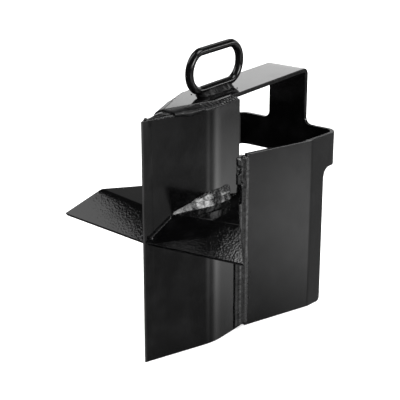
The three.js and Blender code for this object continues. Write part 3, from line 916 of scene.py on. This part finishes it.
def seam_bead(label, side):
    """Rope-like vertical bead from the blade's rear edge to the panel's front edge."""
    root_y = BLADE_HALF - PLATE + 1 * MM
    gap_front, gap_rear = BLADE_REAR + 0.35 * MM, HOUSING_FRONT - 0.2 * MM
    points = []
    heights = spread(SEAM_LOW, SEAM_HIGH, 330)
    for z in heights:
        section = seam_section(z, side)
        if FLUKE_CLEAR[0] < z < FLUKE_CLEAR[1]:
            section = [(max(s, gap_front), y) for s, y in section]
        lap_s = section[-1][0]
        back = [
            (lap_s, panel_half(lap_s) + 0.02 * MM),
            (gap_rear, HOUSING_FRONT_HALF + 0.02 * MM),
            (gap_rear, root_y),
            (gap_front, root_y),
            (gap_front, BLADE_HALF + GAP),
        ]
        points.extend(at(s, side * y, z) for s, y in section + back)
    shells = [(points, tube_faces(SEAM_POINTS + 5, len(heights)))]
    for distance, z, radius in SEAM_DROPS:
        setback = HOUSING_FRONT + distance * MM
        spot = at(setback, side * (panel_half(setback) + 0.2 * MM), z * MM)
        shells.append(spatter(spot, radius * MM, z))
    bead_piece(f"seam_weld_{label}", shells)


def strap_half(setback):
    share = (setback - STRAP_TIP) / (STRAP_SHOULDER - STRAP_TIP)
    return STRAP_HALF * max(0.0, min(1.0, share))


# Setbacks where the strap's ground front beads and rough rear beads start and end.
FRONT_BEAD = (STRAP_TIP + 0.1 * MM, 73.9 * MM)
REAR_BEAD = (74 * MM, BLADE_REAR - 1 * MM)
FRONT_BEAD_FADE = 22 * MM
EDGE_GAP = 0.3 * MM


def blade_top(setback, side, y):
    """Height just over the blade plate's top edge."""
    return BLADE_TOP + 0.1 * MM - ground_off(setback, side, y)


def strap_front_section(setback, side):
    """Ground section from the strap's edge over the blade's top edge: (y, z) points."""
    inner = strap_half(setback) + EDGE_GAP
    half = blade_half(setback)
    floor_in = blade_top(setback, side, inner)
    floor_out = blade_top(setback, side, half)
    near = side > 0
    power = 3.2 if near else 1.6
    outer = half + (0.45 if near else -0.2) * MM
    from_end = min(setback - STRAP_TIP - 2 * MM, FRONT_BEAD[1] - setback)
    lap = smooth(from_end / FRONT_BEAD_FADE)
    foot = floor_out - ((0.3 + 2.7 * lap) * MM if near else -0.05 * MM)
    crest = STRAP_TOP - 0.5 * MM
    section = [(inner, floor_in)]
    for angle in spread(0, math.pi / 2, 16):
        y = inner + (outer - inner) * math.sin(angle) ** (2 / power)
        z = foot + (crest - foot) * math.cos(angle) ** (2 / power)
        grind = noise.noise(Vector((setback * 90, y * 130, side * 6.0)))
        section.append((y, z + 0.12 * MM * math.sin(2 * angle) * grind))
    if near:
        return section + [(half + 0.03 * MM, foot - 1.2 * MM), (half + 0.02 * MM, floor_out)]
    return section + [(outer, floor_out - 0.02 * MM), (outer - 0.1 * MM, floor_out - 0.03 * MM)]


def strap_rear_section(setback, side):
    """Rippled section from the strap's edge down to the blade's top edge: (y, z) points."""
    left = (REAR_BEAD[1] - setback) / (REAR_BEAD[1] - REAR_BEAD[0])
    end = min(1.0, math.sqrt(max(0.02, left * 14)))
    inner = strap_half(setback) + EDGE_GAP
    outer = blade_half(setback) - 0.25 * MM
    floor_in = blade_top(setback, side, inner)
    floor_out = blade_top(setback, side, outer)
    crest = STRAP_TOP - 1.0 * MM - floor_in
    section = [(inner, floor_in)]
    for f in spread(0, 1, 18):
        y = inner + (outer - inner) * f
        floor = floor_in + (floor_out - floor_in) * f
        arch = min(1.0, 5 * f * (1 - f) + 0.15 * (1 - f))
        z = floor + crest * math.cos(f * math.pi / 2) ** 0.8 * (0.55 + 0.45 * end)
        z += 0.5 * MM * arch * end * ripple(setback, 1 - f, 5.2 * MM, side * 3.0)
        lump = noise.noise(Vector((setback * 120, y * 130, side * 6.0)))
        z += 0.6 * MM * arch * end * lump
        section.append((y, max(floor + 0.05 * MM, z)))
    return section


def strap_bead(node, side, span, count, section_at, material):
    """Weld from the strap's edge down and out to the blade's top edge."""
    points = []
    setbacks = spread(*span, count)
    for setback in setbacks:
        section = section_at(setback, side)
        points.extend(at(setback, side * y, z) for y, z in section)
    faces = tube_faces(len(section), len(setbacks))
    bead_piece(node, [(points, faces)], material)


# Setback of the tip bead's front end.
TIP_BEAD_START = 6 * MM


def strap_tip_bead():
    """Ground metal that closes the point of the V ahead of the strap, with a lump in front."""
    floor = BLADE_TOP + 0.1 * MM
    points = []
    across = 20
    setbacks = spread(TIP_BEAD_START, STRAP_TIP - 0.2 * MM, 40)
    for setback in setbacks:
        half = blade_half(setback) - 0.5 * MM
        share = (setback - TIP_BEAD_START) / (STRAP_TIP - TIP_BEAD_START)
        fall = ground_off(setback, -1, half)
        for f in spread(-1, 1, across):
            crown = 1 - abs(f) ** 4
            z = floor - fall * max(0.0, -f)
            z += (0.4 + 2.2 * smooth(share * 1.2)) * MM * crown
            z += 0.22 * MM * crown * noise.noise(Vector((setback * 150, f * 1.6, 2.0)))
            points.append(at(setback, half * f, z + 0.03 * MM))
        points.append(at(setback, half, floor - 0.02 * MM))
        points.append(at(setback, 0, floor - 0.02 * MM))
        points.append(at(setback, -half, floor - fall - 0.02 * MM))
    nub = spatter(at(8.5 * MM, 0, BLADE_TOP - 0.6 * MM), 3.0 * MM, 5)
    bead_piece("strap_tip_weld", [(points, tube_faces(across + 4, len(setbacks))), nub])


# ----------------------------------------------------------------------------- tow ring


def ring_path(count):
    """Points and tangents along the bar's centre line, once round."""
    bar = RING_HIGH.y - RING_LOW.y
    middle = (RING_LOW + RING_HIGH) / 2
    radius = (RING_HIGH.z - RING_LOW.z - bar) / 2
    straight = (RING_HIGH.x - RING_LOW.x) / 2 - bar / 2 - radius
    total = 4 * straight + 2 * math.pi * radius
    path = []
    for k in range(count):
        d = total * k / count
        if d < 2 * straight:
            local, tangent = Vector((-straight + d, 0, -radius)), Vector((1, 0, 0))
        elif d < 2 * straight + math.pi * radius:
            t = (d - 2 * straight) / radius - math.pi / 2
            local = Vector((straight + radius * math.cos(t), 0, radius * math.sin(t)))
            tangent = Vector((-math.sin(t), 0, math.cos(t)))
        elif d < 4 * straight + math.pi * radius:
            e = d - 2 * straight - math.pi * radius
            local, tangent = Vector((straight - e, 0, radius)), Vector((-1, 0, 0))
        else:
            t = (d - 4 * straight - math.pi * radius) / radius + math.pi / 2
            local = Vector((-straight + radius * math.cos(t), 0, radius * math.sin(t)))
            tangent = Vector((-math.sin(t), 0, math.cos(t)))
        path.append((middle + local, tangent))
    return path, bar / 2


def tow_ring():
    path, radius = ring_path(220)
    around = 28
    points, faces = [], []
    for centre, tangent in path:
        out = tangent.cross(Vector((0, 1, 0)))
        for i in range(around):
            angle = 2 * math.pi * i / around
            sideways = Vector((0, radius * math.sin(angle), 0))
            spot = centre + out * radius * math.cos(angle) + sideways
            dent = noise.noise(spot * 95) * 0.10 * MM - 0.10 * MM
            points.append(spot + (spot - centre).normalized() * dent)
    total = len(path)
    for k in range(total):
        for i in range(around):
            a, b = k * around, ((k + 1) % total) * around
            j = (i + 1) % around
            faces.append((a + i, a + j, b + j, b + i))
    finish_piece(
        "tow_ring_painted", mesh_from("tow_ring_painted", points, faces),
        RING_ENAMEL, "tow_ring", bevel=0,
    )


# Spatter round the ring's foot: distance in front of its middle, to the side, radius, in mm.
RING_DROPS = ((-24, 13, 0.8), (-12, 16, 0.6), (6, 14.5, 0.9), (19, 13.5, 0.7), (28, 11, 0.8))
RING_BEAD_LENGTH = 60 * MM


def ring_beads(label, side):
    """Fillet beads at the foot of the ring's lower bar."""
    middle = (RING_LOW + RING_HIGH) / 2
    up = Vector((0, side * 0.30, 1))
    out = Vector((0, side, 0))
    stations = []
    for t in spread(0, 1, 150):
        x = middle.x + RING_BEAD_LENGTH * (0.5 - t)
        ends = 1 - 0.35 * abs(2 * t - 1) ** 3
        root = Vector((x, side * 0.6 * MM, STRAP_TOP + 0.15 * MM))
        stations.append((root, up, out, 7.0 * MM * ends, 9.5 * MM * ends))
    drops = []
    for dx, dy, radius in RING_DROPS:
        spot = Vector((middle.x + dx * MM, side * dy * MM, STRAP_TOP))
        drops.append(spatter(spot, radius * MM, dx))
    bead = fillet_bead(stations, 31 + side, 6 * MM, 0.15 * MM, 0.45 * MM, bulge=0.05)
    bead_piece(f"ring_weld_{label}", [bead, *drops], GROUND_ENAMEL)


# --------------------------------------------------------------------------- build it

apex_weld()
housing_with_handle()
tow_ring()
strap_tip_bead()
for name, side in SIDES:
    shape = FlukeShape(side)
    blade_plate(name, side)
    fluke(name, shape)
    fluke_front_bead(name, shape)
    fluke_rear_bead(name, shape)
    fluke_under_bead(name, shape)
    seam_bead(name, side)
    strap_bead(
        f"strap_weld_front_{name}", side, FRONT_BEAD, 80, strap_front_section, GROUND_ENAMEL,
    )
    strap_bead(
        f"strap_weld_rear_{name}", side, REAR_BEAD, 150, strap_rear_section, BEAD_ENAMEL,
    )
    ring_beads(name, side)

# --------------------------------------------------------------------- floor and light


FLOOR_SIZE = 6.0
FLOOR_COLOUR = (0.9, 0.9, 0.9, 1)
# Light that the floor gives off itself, so that it is as white as the background.
FLOOR_LIFT = 0.45
CORNERS = ((-1, -1), (1, -1), (1, 1), (-1, 1))


def stage_sheet(name, corners):
    """One flat face that belongs to the studio and not to the anchor."""
    mesh = bpy.data.meshes.new(name)
    mesh.from_pydata(corners, [], [(0, 1, 2, 3)])
    sheet = bpy.data.objects.new(name, mesh)
    bpy.context.scene.collection.objects.link(sheet)
    return sheet


def make_floor():
    """Pale floor, which the gloss paint doesn't mirror."""
    floor = stage_sheet("floor", [(FLOOR_SIZE * a, FLOOR_SIZE * b, 0) for a, b in CORNERS])
    material = bpy.data.materials.new("pale_floor")
    material.use_nodes = True
    surface = material.node_tree.nodes["Principled BSDF"]
    surface.inputs["Base Color"].default_value = FLOOR_COLOUR
    surface.inputs["Roughness"].default_value = 0.9
    surface.inputs["Specular IOR Level"].default_value = 0.1
    surface.inputs["Emission Color"].default_value = (1, 1, 1, 1)
    surface.inputs["Emission Strength"].default_value = FLOOR_LIFT
    floor.data.materials.append(material)
    floor.visible_glossy = False


# What the gloss paint mirrors, in degrees: azimuth range and softness, elevation range and
# softness, how far the box climbs per degree of azimuth, and radiance.
SOFT_BOXES = (
    # Seen in the strap's top.
    ((165, 275), 8, (-3, 16.6), 0.15, 0.0, 1.7),
    # Seen in the front faces of the flukes.
    ((268, 325), 5, (26, 55.35), 0.15, 0.42, 1.85),
    ((262, 318), 6, (58.6, 80), 0.15, -0.3, 6.0),
    ((288.8, 291.5), 0.4, (55.3, 56.2), 0.2, 0.0, 0.9),
    # Seen in the right fluke's wing, then glints on the ring and the weld beads.
    ((165, 245), 8, (21, 31), 1.5, 0.0, 0.13),
    ((180, 212), 5, (32, 48), 4, 0.0, 1.0),
    ((118, 142), 5, (30, 62), 4, 0.0, 6.0),
    ((90, 114), 3, (4, 19), 2.5, 0.0, 15.0),
    ((134, 152), 3, (1, 7), 2.0, 0.0, 8.0),
    # Seen in the left face of the V, the nose and the housing, some by way of another face.
    ((68, 97), 1.5, (-32, -12), 4, 0.0, 0.95),
    ((62, 86), 4, (7, 21), 3, 0.0, 2.4),
    ((84, 106), 3, (-45, -2), 4, 0.0, 0.09),
    ((60, 100.4), 1.0, (-20.5, -2), 1.5, 0.0, 0.5),
)
# Glow of the studio floor, seen in the left blade plate and the housing's left side:
# azimuth and radiance.
FLOOR_GLOW = (
    (103, 0.0), (107, 0.75), (111, 1.3), (115, 0.45),
    (119, 0.6), (131, 2.8), (138, 1.8), (145, 1.15), (153, 0.35),
)
GLOW_WIDTH, GLOW_WIDTH_SOFT = (60, 228), 5
# The glow is strongest between these elevations, keeps a rest elsewhere, and ends here.
GLOW_HEIGHTS, GLOW_SOFT = (-24, -17.3), 3.0
GLOW_REST = 0.15
GLOW_END = (-6, 2)
# Radiance of the dark part of the studio, of the room that lights matt surfaces, and of
# the background behind the anchor.
DARK = 0.03
ROOM = 1.7
CAMERA_WHITE = 1.0


def window(g, value, span, soft):
    """1 inside the span, 0 outside it, with soft edges."""
    opening = g.ramp(value, span[0] - soft, span[0] + soft, 0.0, 1.0)
    closing = g.ramp(value, span[1] - soft, span[1] + soft, 1.0, 0.0)
    return g.math("MULTIPLY", opening, closing)


def soft_box_light(g, azimuth, elevation):
    total = DARK
    for azimuths, soft_a, elevations, soft_e, tilt, radiance in SOFT_BOXES:
        lean = g.math("MULTIPLY", g.math("SUBTRACT", azimuth, sum(azimuths) / 2), tilt)
        height = g.math("SUBTRACT", elevation, lean)
        across = window(g, azimuth, azimuths, soft_a)
        box = g.math("MULTIPLY", across, window(g, height, elevations, soft_e))
        total = g.math("ADD", g.math("MULTIPLY", box, radiance), total)
    return total


def floor_glow_light(g, azimuth, elevation):
    glow = 0.0
    for (a0, v0), (a1, v1) in zip(FLOOR_GLOW[:-1], FLOOR_GLOW[1:]):
        glow = g.math("ADD", g.ramp(azimuth, a0, a1, 0.0, v1 - v0), glow)
    glow = g.math("ADD", glow, FLOOR_GLOW[0][1])
    glow = g.math("MULTIPLY", glow, window(g, azimuth, GLOW_WIDTH, GLOW_WIDTH_SOFT))
    heights = g.math("ADD", window(g, elevation, GLOW_HEIGHTS, GLOW_SOFT), GLOW_REST)
    below = g.ramp(elevation, *GLOW_END, 1.0, 0.0)
    return g.math("MULTIPLY", glow, g.math("MULTIPLY", heights, below))


def make_world():
    """White to the camera, an even room for matt light, and the painted studio for gloss."""
    world = bpy.data.worlds.new("studio")
    bpy.context.scene.world = world
    world.use_nodes = True
    g = Graph(world.node_tree)
    out = g.node("ShaderNodeOutputWorld")
    direction = g.node("ShaderNodeTexCoord").outputs["Generated"]
    parts = g.node("ShaderNodeSeparateXYZ")
    g.link(direction, parts.inputs[0])
    azimuth = g.math("DEGREES", g.math("ARCTAN2", parts.outputs["Y"], parts.outputs["X"]))
    azimuth = g.math("MODULO", g.math("ADD", azimuth, 360.0), 360.0)
    elevation = g.math("DEGREES", g.math("ARCSINE", parts.outputs["Z"]))
    boxes = soft_box_light(g, azimuth, elevation)
    studio = g.math("ADD", floor_glow_light(g, azimuth, elevation), boxes)

    path = g.node("ShaderNodeLightPath")
    mirrored = g.pick(path.outputs["Is Glossy Ray"], ROOM, studio)
    strength = g.pick(path.outputs["Is Camera Ray"], mirrored, CAMERA_WHITE)
    light = g.node("ShaderNodeBackground")
    light.inputs["Color"].default_value = (1, 1, 1, 1)
    g.link(strength, light.inputs["Strength"])
    g.link(light.outputs[0], out.inputs["Surface"])


# A dim card beside the left rear corner, seen only in reflections.
CARD_CENTRE = Vector((-0.1292, 0.0951, 0.03))
CARD_HALF_WIDTH = 0.0205
CARD_HALF_HEIGHT = 0.18
CARD_AZIMUTH = math.radians(137.4)
CARD_GLOW = 0.42


def make_card():
    across = Vector((math.sin(CARD_AZIMUTH), -math.cos(CARD_AZIMUTH), 0)) * CARD_HALF_WIDTH
    upright = Vector((0, 0, CARD_HALF_HEIGHT))
    card = stage_sheet("dim_card", [CARD_CENTRE + across * a + upright * b for a, b in CORNERS])
    material = bpy.data.materials.new("dim_card")
    material.use_nodes = True
    g = Graph(material.node_tree)
    out = g.node("ShaderNodeOutputMaterial")
    glow = g.node("ShaderNodeEmission")
    glow.inputs["Strength"].default_value = CARD_GLOW
    g.link(glow.outputs[0], out.inputs["Surface"])
    card.data.materials.append(material)
    card.visible_camera = False
    card.visible_diffuse = False
    card.visible_shadow = False


make_floor()
make_card()
make_world()
bpy.context.scene.view_settings.view_transform = "Standard"
